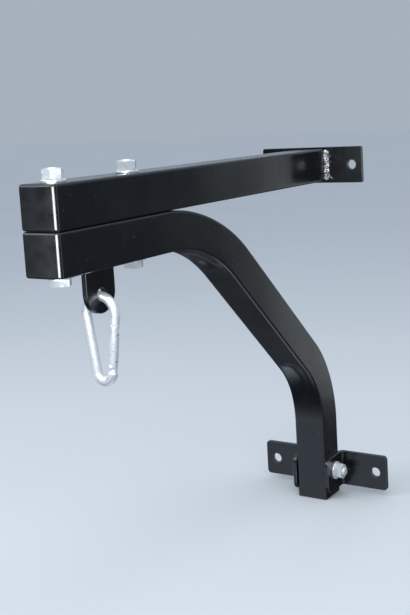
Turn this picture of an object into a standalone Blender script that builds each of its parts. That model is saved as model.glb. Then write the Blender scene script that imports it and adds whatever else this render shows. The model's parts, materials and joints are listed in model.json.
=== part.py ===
"""Wall bracket that hangs a punch bag: a square-tube beam, a bent strut under it,
two pivoting wall feet and a snap hook on a welded eye.

Frame: +X to the right along the wall, +Y into the wall, +Z up. The wall is the plane
Y = 0, and the origin is the centre of the upper wall plate's back face.
Every number is in metres and degrees.
"""
import math

import bmesh
import bpy
from mathutils import Matrix, Vector

# ---------------------------------------------------------------- driving dimensions
GAP = 0.0003                    # free space between two pieces that touch on the real object

TUBE = 0.045                    # outside width of both square tubes
TUBE_WALL = 0.0025
TUBE_CORNER = 0.003             # outside corner radius
TUBE_CORNER_INSIDE = 0.001
CORNER_STEPS = 4                # facets in a quarter round of a tube or plate corner
SHARP_ANGLE = 35.0              # edges sharper than this are shaded as edges

REACH = 0.565                   # wall to the front of the end caps
PLATE_THICKNESS = 0.005
PLATE_HEIGHT = 0.050
PLATE_CHAMFER = 0.0005
PLATE_CORNER = 0.003
UPPER_PLATE_WIDTH = 0.155
UPPER_HOLE_SPACING = 0.124
UPPER_HOLE_DIAMETER = 0.013

BEND_START_Y = -0.386           # the strut leaves the beam here
FIRST_BEND_RADIUS = 0.215       # both radii are to the tube's centre line
SECOND_BEND_RADIUS = 0.145
FIRST_BEND_ANGLE = 43.0
SECOND_BEND_ANGLE = 90.0 - FIRST_BEND_ANGLE
BEND_STEPS = 10
FIRST_BEND_FLATTENING = 0.07    # a bent tube loses this share of its depth in mid bend
SECOND_BEND_FLATTENING = 0.03
FOOT_CLEARANCE = 0.004          # strut's back face to the wall
STRUT_END_Z = -0.4725

CAP_FLANGE = 0.0036
CAP_ROUND = 0.0026
CAP_PLUG_DEPTH = 0.012
CAP_PLUG_WALL = 0.002

BOLT_DIAMETER = 0.012
BOLT_HOLE_DIAMETER = 0.0128
BOLT_HEAD_HEIGHT = 0.0075
BOLT_END_CHAMFER = 0.001
HEX_ACROSS_FLATS = 0.019
HEX_FACE_RADIUS = 0.0092        # flat round face left by the corner chamfers
HEX_CHAMFER = 0.0010
NUT_HEIGHT = 0.010
WASHER_DIAMETER = 0.025
WASHER_BORE = 0.013
WASHER_THICKNESS = 0.0025
WASHER_CHAMFER = 0.0003
ROUND_STEPS = 24                # facets round a bolt, washer or nut; a multiple of six
BEAM_BOLT_Y = (-0.540, -0.425)  # front bolt, rear bolt
BEAM_BOLT_PROUD = 0.0008        # bolt end above its nut
PIVOT_BOLT_PROUD = 0.003

PIVOT_Z = -0.435                # centre of the bolt that the feet turn on
FOOT_Z = -0.4385                # centre of both feet's height
EAR_DEPTH = 0.051               # wall to the ear's front edge
EAR_CORNER = 0.011
FOOT_TIP_X = 0.097
FOOT_TIP_CORNER = 0.005
FOOT_BEND_RADIUS = 0.003        # inside radius of the foot's bend
FOOT_HOLE_X = 0.080
FOOT_HOLE_DIAMETER = 0.014

EYE_WIDTH = 0.045
EYE_THICKNESS = 0.006
EYE_X = -0.0015                 # the eye is welded a little off the strut's centre line
EYE_ROUND_DROP = 0.026          # strut's underside to the centre of the eye's round end
EYE_HOLE_DROP = 0.0293          # strut's underside to the eye hole's centre
EYE_HOLE_DIAMETER = 0.014
EYE_ROUND_STEPS = 16
WELD_SIZE = 0.0045
WELD_RIPPLE = 0.10              # share of the bead's size
WELD_RIPPLE_LENGTH = 0.004
WELD_STEPS = 40
WELD_END_SHARE = 0.45           # share of the bead's size at its very ends
WELD_END_GROWTH = 6.0           # growth of that share per bead length
EYE_WELD_SIZE = 0.0030

HOOK_ROD = 0.010                # snap hook's rod diameter
HOOK_REST_GAP = 0.0007          # free space under the rod in the eye, as the rod curves down beside it
HOOK_LENGTH = 0.0995            # overall
HOOK_TOP_RADIUS = 0.0185        # to the rod's centre line, wide end
HOOK_BOTTOM_RADIUS = 0.0102     # narrow end
HOOK_ARC_STEPS = 16
ROD_STEPS = 20                  # facets round the rod
PIN_STEPS = 16                  # facets round a small pin or its hole
GATE_PIVOT_DROP = 0.0725        # below the rod's centre at the eye
GATE_LENGTH = 0.043             # gate pivot to gate tip
GATE_SLOT_HALF = 0.0022
HINGE_SLOT_LENGTH = 0.0062      # from the gate pivot
NOSE_SLOT_LENGTH = 0.0105
GATE_BORE_RADIUS = 0.0025
GATE_BORE_END = 0.020           # from the gate pivot
TONGUE_HALF = 0.0019
HINGE_TONGUE_TOP = 0.0040       # flat end above the gate pivot
HINGE_SHOULDER = 0.0062
NOSE_TONGUE_LENGTH = 0.0092
NOSE_GAP = 0.0006               # nose shoulder to gate tip
RIVET_RADIUS = 0.0015
RIVET_HEAD_RADIUS = 0.0023
RIVET_HEAD_HEIGHT = 0.0006
CROSS_PIN_RADIUS = 0.0011
CROSS_PIN_AT = 0.0368           # from the gate pivot
PLUNGER_RADIUS = 0.0019
PLUNGER_STEM_RADIUS = 0.0011
PLUNGER_HEAD_LENGTH = 0.0042
PLUNGER_STEM_LENGTH = 0.0040
SPRING_RADIUS = 0.0018
SPRING_WIRE_RADIUS = 0.0003
SPRING_TURNS = 6
SPRING_STEPS_PER_TURN = 10
SPRING_WIRE_STEPS = 6

# ---------------------------------------------------------------- derived places
HALF_TUBE = TUBE / 2
TUBE_FRONT_Y = -REACH + CAP_FLANGE + GAP
BEAM_BACK_Y = -PLATE_THICKNESS - GAP
BEAM_TOP_Z = HALF_TUBE
STRUT_AXIS_Z = -TUBE - GAP
STRUT_UNDERSIDE_Z = STRUT_AXIS_Z - HALF_TUBE
STRUT_FOOT_Y = -FOOT_CLEARANCE - HALF_TUBE
EAR_INSIDE_X = HALF_TUBE + GAP
EAR_OUTSIDE_X = EAR_INSIDE_X + PLATE_THICKNESS
EYE_Y = (BEAM_BOLT_Y[0] + BEAM_BOLT_Y[1]) / 2
EYE_ROUND_Z = STRUT_UNDERSIDE_Z - EYE_ROUND_DROP
EYE_HOLE_Z = STRUT_UNDERSIDE_Z - EYE_HOLE_DROP
HOOK_RADIUS = HOOK_ROD / 2
HOOK_ORIGIN = Vector((EYE_X, EYE_Y, EYE_HOLE_Z - EYE_HOLE_DIAMETER / 2 + HOOK_RADIUS + HOOK_REST_GAP))

X_AXIS = Vector((1, 0, 0))
Y_AXIS = Vector((0, 1, 0))
Z_AXIS = Vector((0, 0, 1))
ALONG_X = Matrix.Rotation(math.radians(90), 4, "Y")
ALONG_Y = Matrix.Rotation(math.radians(-90), 4, "X")

MATERIALS = {
    # name: (colour, roughness, metallic)
    "powder_coated_steel": ((0.022, 0.024, 0.028), 0.38, 0.0),
    "zinc_plated_steel": ((0.78, 0.79, 0.80), 0.28, 1.0),
    "bare_weld_metal": ((0.70, 0.70, 0.69), 0.42, 1.0),
    "black_plastic": ((0.020, 0.021, 0.024), 0.45, 0.0),
    "spring_steel": ((0.42, 0.43, 0.45), 0.35, 1.0),
}


# ---------------------------------------------------------------- scene and mesh helpers
def clear_scene():
    for existing in list(bpy.data.objects):
        bpy.data.objects.remove(existing, do_unlink=True)


def make_material(name):
    colour, roughness, metallic = MATERIALS[name]
    material = bpy.data.materials.get(name) or bpy.data.materials.new(name)
    material.use_nodes = True
    shader = material.node_tree.nodes["Principled BSDF"]
    shader.inputs["Base Color"].default_value = (*colour, 1.0)
    shader.inputs["Roughness"].default_value = roughness
    shader.inputs["Metallic"].default_value = metallic
    return material


def add_object(name, bm, material_name=None):
    """Turn a bmesh into a named object with outward faces and smooth round sides."""
    bmesh.ops.recalc_face_normals(bm, faces=bm.faces)
    mesh = bpy.data.meshes.new(name)
    bm.to_mesh(mesh)
    bm.free()
    mesh.shade_smooth()
    mesh.set_sharp_from_angle(angle=math.radians(SHARP_ANGLE))
    if material_name:
        mesh.materials.append(make_material(material_name))
    piece = bpy.data.objects.new(name, mesh)
    bpy.context.collection.objects.link(piece)
    return piece


def loft(rings, closed=False):
    """Skin a list of rings; closed joins the last ring to the first, otherwise both ends are capped."""
    bm = bmesh.new()
    rows = [[bm.verts.new(point) for point in ring] for ring in rings]
    pairs = list(zip(rows, rows[1:]))
    if closed:
        pairs.append((rows[-1], rows[0]))
    for lower, upper in pairs:
        count = len(lower)
        for i in range(count):
            j = (i + 1) % count
            bm.faces.new((lower[i], lower[j], upper[j], upper[i]))
    if not closed:
        bm.faces.new(rows[0])
        bm.faces.new(rows[-1])
    return bm


def place_ring(outline, origin, u, v):
    """Put a flat outline of (a, b) pairs at origin, a along u and b along v."""
    return [origin + u * a + v * b for a, b in outline]


def rounded_rectangle(width, height, radius, steps=CORNER_STEPS):
    points = []
    corners = ((1, 1, 0), (-1, 1, 90), (-1, -1, 180), (1, -1, 270))
    for sign_a, sign_b, start in corners:
        centre_a = sign_a * (width / 2 - radius)
        centre_b = sign_b * (height / 2 - radius)
        for step in range(steps + 1):
            angle = math.radians(start + 90.0 * step / steps)
            points.append((centre_a + radius * math.cos(angle), centre_b + radius * math.sin(angle)))
    return points


def circle(radius, steps=ROUND_STEPS):
    turns = (2 * math.pi * i / steps for i in range(steps))
    return [(radius * math.cos(angle), radius * math.sin(angle)) for angle in turns]


def hexagon(limit_radius):
    """A hexagon with its corners cut back to limit_radius, on as many points as a circle has."""
    points = []
    for i in range(ROUND_STEPS):
        angle = 2 * math.pi * i / ROUND_STEPS
        from_flat = (angle % math.radians(60)) - math.radians(30)
        radius = min(HEX_ACROSS_FLATS / 2 / math.cos(from_flat), limit_radius)
        points.append((radius * math.cos(angle), radius * math.sin(angle)))
    return points


def turned(sections, closed=False):
    """Loft (outline, height) sections along local Z."""
    return loft([place_ring(outline, Z_AXIS * height, X_AXIS, Y_AXIS) for outline, height in sections], closed)


def cylinder_cutter(name, radius, start, end, steps=ROUND_STEPS):
    """A solid used only to cut a round hole from start to end."""
    axis = (end - start).normalized()
    u = axis.orthogonal().normalized()
    v = axis.cross(u)
    outline = circle(radius, steps)
    return add_object(name, loft([place_ring(outline, point, u, v) for point in (start, end)]))


def box_cutter(name, centre, half_sizes, axes):
    """A block used only to cut; axes are its three unit directions."""
    u, v, w = axes
    half_u, half_v, half_w = half_sizes
    outline = ((half_u, half_v), (-half_u, half_v), (-half_u, -half_v), (half_u, -half_v))
    ends = (centre - w * half_w, centre + w * half_w)
    return add_object(name, loft([place_ring(outline, end, u, v) for end in ends]))


def cut(piece, *cutters):
    """Take the cutters out of a piece, then remove them and mark the piece's new sharp edges."""
    for cutter in cutters:
        boolean = piece.modifiers.new(cutter.name, "BOOLEAN")
        boolean.operation = "DIFFERENCE"
        boolean.solver = "EXACT"
        boolean.object = cutter
    depsgraph = bpy.context.evaluated_depsgraph_get()
    result = bpy.data.meshes.new_from_object(piece.evaluated_get(depsgraph))
    piece.modifiers.clear()
    piece.data = result
    result.set_sharp_from_angle(angle=math.radians(SHARP_ANGLE))
    for cutter in cutters:
        bpy.data.objects.remove(cutter, do_unlink=True)


def weight_normals():
    """Keep the flat faces beside rounded edges flat in shading."""
    for piece in bpy.data.objects:
        piece.modifiers.new("flat_faces", "WEIGHTED_NORMAL").keep_sharp = True


# ---------------------------------------------------------------- tubes and their end caps
def strut_stations():
    """Centre-line points of the strut as (y, z, angle below horizontal, flattening)."""
    bend = math.radians(FIRST_BEND_ANGLE)
    stations = [(TUBE_FRONT_Y, STRUT_AXIS_Z, 0.0, 0.0)]
    for step in range(BEND_STEPS + 1):
        part = step / BEND_STEPS
        angle = bend * part
        y = BEND_START_Y + FIRST_BEND_RADIUS * math.sin(angle)
        z = STRUT_AXIS_Z - FIRST_BEND_RADIUS * (1 - math.cos(angle))
        stations.append((y, z, angle, FIRST_BEND_FLATTENING * math.sin(math.pi * part) ** 2))
    last_y, last_z = stations[-1][:2]
    second_start_y = STRUT_FOOT_Y - SECOND_BEND_RADIUS * (1 - math.sin(bend))
    second_start_z = last_z - (second_start_y - last_y) * math.tan(bend)
    for step in range(BEND_STEPS + 1):
        part = step / BEND_STEPS
        angle = bend + math.radians(SECOND_BEND_ANGLE) * part
        y = second_start_y + SECOND_BEND_RADIUS * (math.sin(angle) - math.sin(bend))
        z = second_start_z - SECOND_BEND_RADIUS * (math.cos(bend) - math.cos(angle))
        stations.append((y, z, angle, SECOND_BEND_FLATTENING * math.sin(math.pi * part) ** 2))
    stations.append((STRUT_FOOT_Y, STRUT_END_Z, math.radians(90), 0.0))
    return stations


def strut_rings(size, corner):
    rings = []
    for y, z, angle, flattening in strut_stations():
        up = Vector((0, math.sin(angle), math.cos(angle)))
        outline = rounded_rectangle(size, size * (1 - flattening), corner)
        rings.append(place_ring(outline, Vector((0, y, z)), X_AXIS, up))
    return rings


def hollow(outside_rings, inside_rings):
    """A tube wall: down the outside, back up the inside, closed at both ends."""
    return loft(outside_rings + inside_rings[::-1], closed=True)


def make_beam():
    walls = []
    for size, corner in ((TUBE, TUBE_CORNER), (TUBE - 2 * TUBE_WALL, TUBE_CORNER_INSIDE)):
        outline = rounded_rectangle(size, size, corner)
        ends = (Y_AXIS * TUBE_FRONT_Y, Y_AXIS * BEAM_BACK_Y)
        walls.append([place_ring(outline, end, X_AXIS, Z_AXIS) for end in ends])
    return add_object("upper_beam", hollow(*walls), "powder_coated_steel")


def make_strut():
    inside = strut_rings(TUBE - 2 * TUBE_WALL, TUBE_CORNER_INSIDE)
    return add_object("lower_strut", hollow(strut_rings(TUBE, TUBE_CORNER), inside), "powder_coated_steel")


def make_end_cap(name, axis_z):
    """A moulded cap: a rounded flange over the tube's end and a hollow plug inside it."""
    sections = []
    for degrees in (90, 60, 30, 0):
        angle = math.radians(degrees)
        inset = CAP_ROUND * (1 - math.cos(angle))
        depth = CAP_ROUND * (1 - math.sin(angle))
        size = TUBE - 2 * inset
        sections.append((rounded_rectangle(size, size, TUBE_CORNER - inset), depth))
    sections.append((rounded_rectangle(TUBE, TUBE, TUBE_CORNER), CAP_FLANGE))
    plug = TUBE - 2 * TUBE_WALL - 2 * GAP
    plug_inside = plug - 2 * CAP_PLUG_WALL
    plug_end = CAP_FLANGE + CAP_PLUG_DEPTH
    for size, depth in ((plug, CAP_FLANGE), (plug, plug_end), (plug_inside, plug_end), (plug_inside, CAP_FLANGE)):
        sections.append((rounded_rectangle(size, size, TUBE_CORNER_INSIDE), depth))
    front = Vector((0, -REACH, axis_z))
    rings = [place_ring(outline, front + Y_AXIS * depth, X_AXIS, Z_AXIS) for outline, depth in sections]
    add_object(name, loft(rings), "black_plastic")


# ---------------------------------------------------------------- plates, feet and eye
def make_upper_plate():
    sections = ((PLATE_CHAMFER, 0.0), (0.0, PLATE_CHAMFER),
                (0.0, PLATE_THICKNESS - PLATE_CHAMFER), (PLATE_CHAMFER, PLATE_THICKNESS))
    rings = []
    for inset, depth in sections:
        width = UPPER_PLATE_WIDTH - 2 * inset
        height = PLATE_HEIGHT - 2 * inset
        outline = rounded_rectangle(width, height, PLATE_CORNER - inset)
        rings.append(place_ring(outline, Y_AXIS * -depth, X_AXIS, Z_AXIS))
    plate = add_object("upper_wall_plate", loft(rings), "powder_coated_steel")
    for side, sign in (("left", -1), ("right", 1)):
        centre = Vector((sign * UPPER_HOLE_SPACING / 2, 0, 0))
        reach = Y_AXIS * 2 * PLATE_THICKNESS
        hole = cylinder_cutter("upper_hole_" + side, UPPER_HOLE_DIAMETER / 2, centre - reach, centre + reach)
        cut(plate, hole)


def corner_half_height(distance, radius):
    """Half height of a plate at this distance from its end, where both corners are rounded."""
    if distance >= radius:
        return PLATE_HEIGHT / 2
    return PLATE_HEIGHT / 2 - radius + math.sqrt(radius ** 2 - (radius - distance) ** 2)


def foot_stations():
    """Sections of the right foot as (strut or wall side, other side, half height) in the XY plane."""
    outside_radius = FOOT_BEND_RADIUS + PLATE_THICKNESS
    centre_x = EAR_INSIDE_X + outside_radius
    quarter_turn = [math.radians(90.0 * step / CORNER_STEPS) for step in range(CORNER_STEPS + 1)]
    stations = []
    for angle in quarter_turn:
        from_end = EAR_CORNER * (1 - math.cos(angle))
        y = -EAR_DEPTH + from_end
        stations.append(((EAR_INSIDE_X, y), (EAR_OUTSIDE_X, y), corner_half_height(from_end, EAR_CORNER)))
    for angle in quarter_turn:
        sides = []
        for radius in (outside_radius, FOOT_BEND_RADIUS):
            sides.append((centre_x - radius * math.cos(angle), -outside_radius + radius * math.sin(angle)))
        stations.append((*sides, PLATE_HEIGHT / 2))
    for angle in quarter_turn:
        from_end = FOOT_TIP_CORNER * (1 - math.sin(angle))
        x = FOOT_TIP_X - from_end
        stations.append(((x, 0.0), (x, -PLATE_THICKNESS), corner_half_height(from_end, FOOT_TIP_CORNER)))
    return stations


def make_foot(name, sign):
    """A bent angle foot: an ear beside the strut and a flange on the wall."""
    pivot = Vector((0, STRUT_FOOT_Y, PIVOT_Z))
    rings = []
    for near, far, half in foot_stations():
        corners = ((near, half), (far, half), (far, -half), (near, -half))
        rings.append([Vector((sign * x, y, FOOT_Z + z)) - pivot for (x, y), z in corners])
    foot = add_object(name, loft(rings), "powder_coated_steel")
    foot.location = pivot
    ear = X_AXIS * sign * (EAR_INSIDE_X + PLATE_THICKNESS / 2)
    through_ear = X_AXIS * PLATE_THICKNESS
    pivot_hole = cylinder_cutter(name + "_pivot_hole", BOLT_HOLE_DIAMETER / 2,
                                 pivot + ear - through_ear, pivot + ear + through_ear)
    wall_hole_centre = Vector((sign * FOOT_HOLE_X, -PLATE_THICKNESS / 2, FOOT_Z))
    through_flange = Y_AXIS * PLATE_THICKNESS
    wall_hole = cylinder_cutter(name + "_wall_hole", FOOT_HOLE_DIAMETER / 2,
                                wall_hole_centre - through_flange, wall_hole_centre + through_flange)
    cut(foot, pivot_hole, wall_hole)


def eye_outline(inset):
    """The eye seen from its side, as (y, z): a square top and a round lower end."""
    radius = EYE_WIDTH / 2 - inset
    top = STRUT_UNDERSIDE_Z - GAP - inset
    points = [(EYE_Y + radius, top), (EYE_Y - radius, top)]
    for step in range(EYE_ROUND_STEPS + 1):
        angle = math.radians(180.0 + 180.0 * step / EYE_ROUND_STEPS)
        points.append((EYE_Y + radius * math.cos(angle), EYE_ROUND_Z + radius * math.sin(angle)))
    return points


def make_eye():
    half = EYE_THICKNESS / 2
    sections = ((PLATE_CHAMFER, -half), (0.0, PLATE_CHAMFER - half),
                (0.0, half - PLATE_CHAMFER), (PLATE_CHAMFER, half))
    rings = [place_ring(eye_outline(inset), X_AXIS * (EYE_X + x), Y_AXIS, Z_AXIS) for inset, x in sections]
    eye = add_object("hanging_eye", loft(rings), "powder_coated_steel")
    centre = Vector((EYE_X, EYE_Y, EYE_HOLE_Z))
    through = X_AXIS * EYE_THICKNESS
    cut(eye, cylinder_cutter("eye_hole", EYE_HOLE_DIAMETER / 2, centre - through, centre + through))


# ---------------------------------------------------------------- weld beads
def ripple(distance):
    return 1.0 + WELD_RIPPLE * math.sin(2 * math.pi * distance / WELD_RIPPLE_LENGTH)


def make_side_weld(name, sign):
    """A fillet bead down the corner between one side of the beam and the plate."""
    length = TUBE - TUBE_CORNER
    rings = []
    for step in range(WELD_STEPS + 1):
        part = step / WELD_STEPS
        taper = min(1.0, WELD_END_SHARE + WELD_END_GROWTH * min(part, 1.0 - part))
        size = WELD_SIZE * taper * ripple(part * length)
        outline = [(0.0, 0.0)]
        for degrees in (0, 22.5, 45, 67.5, 90):
            angle = math.radians(degrees)
            outline.append((size * math.cos(angle), size * math.sin(angle)))
        corner = Vector((sign * (HALF_TUBE + GAP), BEAM_BACK_Y, (part - 0.5) * length))
        rings.append(place_ring(outline, corner, X_AXIS * sign, -Y_AXIS))
    add_object(name, loft(rings), "bare_weld_metal")


def make_eye_weld():
    """A fillet bead that runs right round the top of the eye."""
    top = Vector((EYE_X, EYE_Y, STRUT_UNDERSIDE_Z - GAP))
    rings = []
    for out, down in ((0.0, 0.0), (1.0, 0.0), (0.72, 0.4), (0.4, 0.72), (0.0, 1.0)):
        spread = 2 * (GAP + out * EYE_WELD_SIZE)
        corner = GAP + out * EYE_WELD_SIZE
        outline = rounded_rectangle(EYE_THICKNESS + spread, EYE_WIDTH + spread, corner)
        rings.append(place_ring(outline, top - Z_AXIS * down * EYE_WELD_SIZE, X_AXIS, Y_AXIS))
    add_object("eye_weld", loft(rings, closed=True), "powder_coated_steel")


# ---------------------------------------------------------------- bolts, washers and nuts
def make_bolt(name, length, origin, turn):
    """A hex bolt: head below local Z = 0, plain shank above it."""
    chamfered = hexagon(HEX_FACE_RADIUS)
    full = hexagon(HEX_ACROSS_FLATS)
    shank = circle(BOLT_DIAMETER / 2)
    end = circle(BOLT_DIAMETER / 2 - BOLT_END_CHAMFER)
    sections = ((chamfered, -BOLT_HEAD_HEIGHT), (full, -BOLT_HEAD_HEIGHT + HEX_CHAMFER), (full, 0.0),
                (shank, 0.0), (shank, length - BOLT_END_CHAMFER), (end, length))
    put(add_object(name, turned(sections), "zinc_plated_steel"), origin, turn)


def make_nut(name, origin, turn):
    chamfered = hexagon(HEX_FACE_RADIUS)
    full = hexagon(HEX_ACROSS_FLATS)
    bore = circle(BOLT_DIAMETER / 2 + GAP)
    mouth = circle(BOLT_DIAMETER / 2 + GAP + HEX_CHAMFER / 2)
    sections = ((mouth, 0.0), (chamfered, 0.0), (full, HEX_CHAMFER), (full, NUT_HEIGHT - HEX_CHAMFER),
                (chamfered, NUT_HEIGHT), (mouth, NUT_HEIGHT), (bore, NUT_HEIGHT - HEX_CHAMFER / 2),
                (bore, HEX_CHAMFER / 2))
    put(add_object(name, turned(sections, closed=True), "zinc_plated_steel"), origin, turn)


def make_washer(name, origin, turn):
    outside = circle(WASHER_DIAMETER / 2)
    edge = circle(WASHER_DIAMETER / 2 - WASHER_CHAMFER)
    bore = circle(WASHER_BORE / 2)
    sections = ((bore, 0.0), (edge, 0.0), (outside, WASHER_CHAMFER),
                (outside, WASHER_THICKNESS - WASHER_CHAMFER), (edge, WASHER_THICKNESS), (bore, WASHER_THICKNESS))
    put(add_object(name, turned(sections, closed=True), "zinc_plated_steel"), origin, turn)


def put(piece, origin, turn):
    piece.matrix_world = Matrix.Translation(origin) @ turn


def make_fastener_set(name, head_face, top, axis_origin, axis, turn, proud):
    """Bolt, nut and nut washer that clamp everything from the bolt's head face to top along axis."""
    nut_washer = top + GAP
    nut_face = nut_washer + WASHER_THICKNESS + GAP
    length = nut_face + NUT_HEIGHT + proud - head_face
    make_bolt(name + "_bolt", length, axis_origin + axis * head_face, turn)
    make_washer(name + "_nut_washer", axis_origin + axis * nut_washer, turn)
    make_nut(name + "_nut", axis_origin + axis * nut_face, turn)


# ---------------------------------------------------------------- snap hook
def limb_lean():
    """Angle by which each straight limb leans in towards the narrow end."""
    centres = HOOK_LENGTH - HOOK_ROD - HOOK_TOP_RADIUS - HOOK_BOTTOM_RADIUS
    return math.asin((HOOK_TOP_RADIUS - HOOK_BOTTOM_RADIUS) / centres)


def limb_point(drop):
    """Point on the right limb's centre line, drop below the rod's centre at the eye."""
    lean = limb_lean()
    offset = HOOK_TOP_RADIUS / math.cos(lean) - (drop - HOOK_TOP_RADIUS) * math.tan(lean)
    return HOOK_ORIGIN + Vector((offset, 0, -drop))


def limb_axis():
    """Unit direction up the right limb."""
    return Vector((math.sin(limb_lean()), 0, math.cos(limb_lean())))


def limb_side():
    """Unit direction across the right limb, away from the hook's inside."""
    return Vector((math.cos(limb_lean()), 0, -math.sin(limb_lean())))


def gate_pivot():
    return limb_point(GATE_PIVOT_DROP)


def oval(half_side, half_thickness, power):
    """A superellipse: power 2 is an ellipse, a higher power is close to a rectangle."""
    points = []
    for i in range(ROD_STEPS):
        angle = 2 * math.pi * (i + 0.5) / ROD_STEPS
        cosine, sine = math.cos(angle), math.sin(angle)
        a = math.copysign(half_side * abs(cosine) ** (2 / power), cosine)
        b = math.copysign(half_thickness * abs(sine) ** (2 / power), sine)
        points.append((a, b))
    return points


def hook_rings():
    """Sections of the hook's body, from the hinge tongue round both arcs to the nose tongue."""
    pivot, up, side = gate_pivot(), limb_axis(), limb_side()
    rod = oval(HOOK_RADIUS, HOOK_RADIUS, 2)
    tongue = oval(HOOK_RADIUS * 0.88, TONGUE_HALF, 6)
    rings = [place_ring(tongue, pivot + up * HINGE_TONGUE_TOP, side, Y_AXIS),
             place_ring(tongue, pivot - up * HINGE_SHOULDER, side, Y_AXIS),
             place_ring(rod, pivot - up * (HINGE_SHOULDER + GAP), side, Y_AXIS)]
    lean = math.degrees(limb_lean())
    low_centre = HOOK_ORIGIN - Z_AXIS * (HOOK_LENGTH - HOOK_ROD - HOOK_BOTTOM_RADIUS)
    high_centre = HOOK_ORIGIN - Z_AXIS * HOOK_TOP_RADIUS
    arcs = ((low_centre, HOOK_BOTTOM_RADIUS, -lean, -180.0 + lean),
            (high_centre, HOOK_TOP_RADIUS, 180.0 + lean, -lean))
    for centre, radius, start, end in arcs:
        for step in range(HOOK_ARC_STEPS + 1):
            angle = math.radians(start + (end - start) * step / HOOK_ARC_STEPS)
            out = Vector((math.cos(angle), 0, math.sin(angle)))
            rings.append(place_ring(rod, centre + out * radius, out, Y_AXIS))
    shoulder = pivot + up * (GATE_LENGTH + NOSE_GAP)
    rings.append(place_ring(rod, shoulder + up * GAP, side, Y_AXIS))
    rings.append(place_ring(tongue, shoulder, side, Y_AXIS))
    rings.append(place_ring(tongue, shoulder - up * NOSE_TONGUE_LENGTH, side, Y_AXIS))
    return rings


def along_limb(distance):
    return gate_pivot() + limb_axis() * distance


def make_hook_body():
    rings = [[point - HOOK_ORIGIN for point in ring] for ring in hook_rings()]
    body = add_object("hook_body", loft(rings), "zinc_plated_steel")
    body.location = HOOK_ORIGIN
    across = Y_AXIS * HOOK_ROD
    pivot = gate_pivot()
    rivet_hole = cylinder_cutter("tongue_rivet_hole", RIVET_RADIUS + GAP, pivot - across, pivot + across, PIN_STEPS)
    pin = along_limb(CROSS_PIN_AT)
    notch_radius = CROSS_PIN_RADIUS + 2 * GAP
    notch_end = cylinder_cutter("nose_notch_end", notch_radius, pin - across, pin + across, PIN_STEPS)
    axes = (limb_side(), Y_AXIS, limb_axis())
    notch_centre = pin - limb_side() * HOOK_RADIUS
    notch = box_cutter("nose_notch", notch_centre, (HOOK_RADIUS, HOOK_ROD, notch_radius), axes)
    cut(body, rivet_hole, notch_end, notch)


def make_gate():
    """The spring gate: a rod with a ball end, slotted at both ends and bored for its spring."""
    pivot, up, side = gate_pivot(), limb_axis(), limb_side()
    chamfer = HOOK_RADIUS * 0.12
    sections = []
    for degrees in (80, 60, 40, 20, 0):
        angle = math.radians(degrees)
        sections.append((HOOK_RADIUS * math.cos(angle), -HOOK_RADIUS * math.sin(angle)))
    sections.append((HOOK_RADIUS, GATE_LENGTH - chamfer))
    sections.append((HOOK_RADIUS - chamfer, GATE_LENGTH))
    rings = []
    for radius, along in sections:
        rings.append(place_ring(oval(radius, radius, 2), up * along, side, Y_AXIS))
    gate = add_object("gate", loft(rings), "zinc_plated_steel")
    gate.location = pivot
    axes = (side, Y_AXIS, up)
    half = HINGE_SLOT_LENGTH
    hinge_slot = box_cutter("gate_hinge_slot", pivot, (HOOK_ROD, GATE_SLOT_HALF, half), axes)
    nose_half_sizes = (HOOK_ROD, GATE_SLOT_HALF, NOSE_SLOT_LENGTH)
    nose_slot = box_cutter("gate_nose_slot", along_limb(GATE_LENGTH), nose_half_sizes, axes)
    bore = cylinder_cutter("gate_bore", GATE_BORE_RADIUS, along_limb(half / 2), along_limb(GATE_BORE_END), PIN_STEPS)
    across = Y_AXIS * HOOK_ROD
    rivet_hole = cylinder_cutter("gate_rivet_hole", RIVET_RADIUS + GAP, pivot - across, pivot + across, PIN_STEPS)
    pin = along_limb(CROSS_PIN_AT)
    pin_hole = cylinder_cutter("gate_pin_hole", CROSS_PIN_RADIUS + GAP, pin - across, pin + across, PIN_STEPS)
    cut(gate, hinge_slot, nose_slot, bore, rivet_hole, pin_hole)


def make_gate_rivet():
    """The gate's hinge pin, peened at both ends."""
    neck = HOOK_RADIUS + GAP
    top = neck + RIVET_HEAD_HEIGHT
    shank = circle(RIVET_RADIUS, PIN_STEPS)
    head = circle(RIVET_HEAD_RADIUS, PIN_STEPS)
    crown = circle(RIVET_HEAD_RADIUS * 0.6, PIN_STEPS)
    sections = ((crown, -top), (head, -neck - RIVET_HEAD_HEIGHT / 3), (head, -neck), (shank, -neck),
                (shank, neck), (head, neck), (head, neck + RIVET_HEAD_HEIGHT / 3), (crown, top))
    put(add_object("gate_rivet", turned(sections), "zinc_plated_steel"), gate_pivot(), ALONG_Y)


def make_cross_pin():
    half = HOOK_RADIUS - GAP
    outline = circle(CROSS_PIN_RADIUS, PIN_STEPS)
    pin = add_object("gate_cross_pin", turned(((outline, -half), (outline, half))), "zinc_plated_steel")
    put(pin, along_limb(CROSS_PIN_AT), ALONG_Y)


def limb_turn():
    """Rotation that puts local Z up the right limb."""
    return Matrix((limb_side(), Y_AXIS, limb_axis())).transposed().to_4x4()


def make_plunger():
    """The pin that the spring presses on the hinge tongue's flat end."""
    head = circle(PLUNGER_RADIUS, PIN_STEPS)
    stem = circle(PLUNGER_STEM_RADIUS, PIN_STEPS)
    top = PLUNGER_HEAD_LENGTH + PLUNGER_STEM_LENGTH
    sections = ((head, 0.0), (head, PLUNGER_HEAD_LENGTH), (stem, PLUNGER_HEAD_LENGTH), (stem, top))
    origin = along_limb(HINGE_TONGUE_TOP + GAP)
    put(add_object("gate_plunger", turned(sections), "zinc_plated_steel"), origin, limb_turn())


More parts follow.
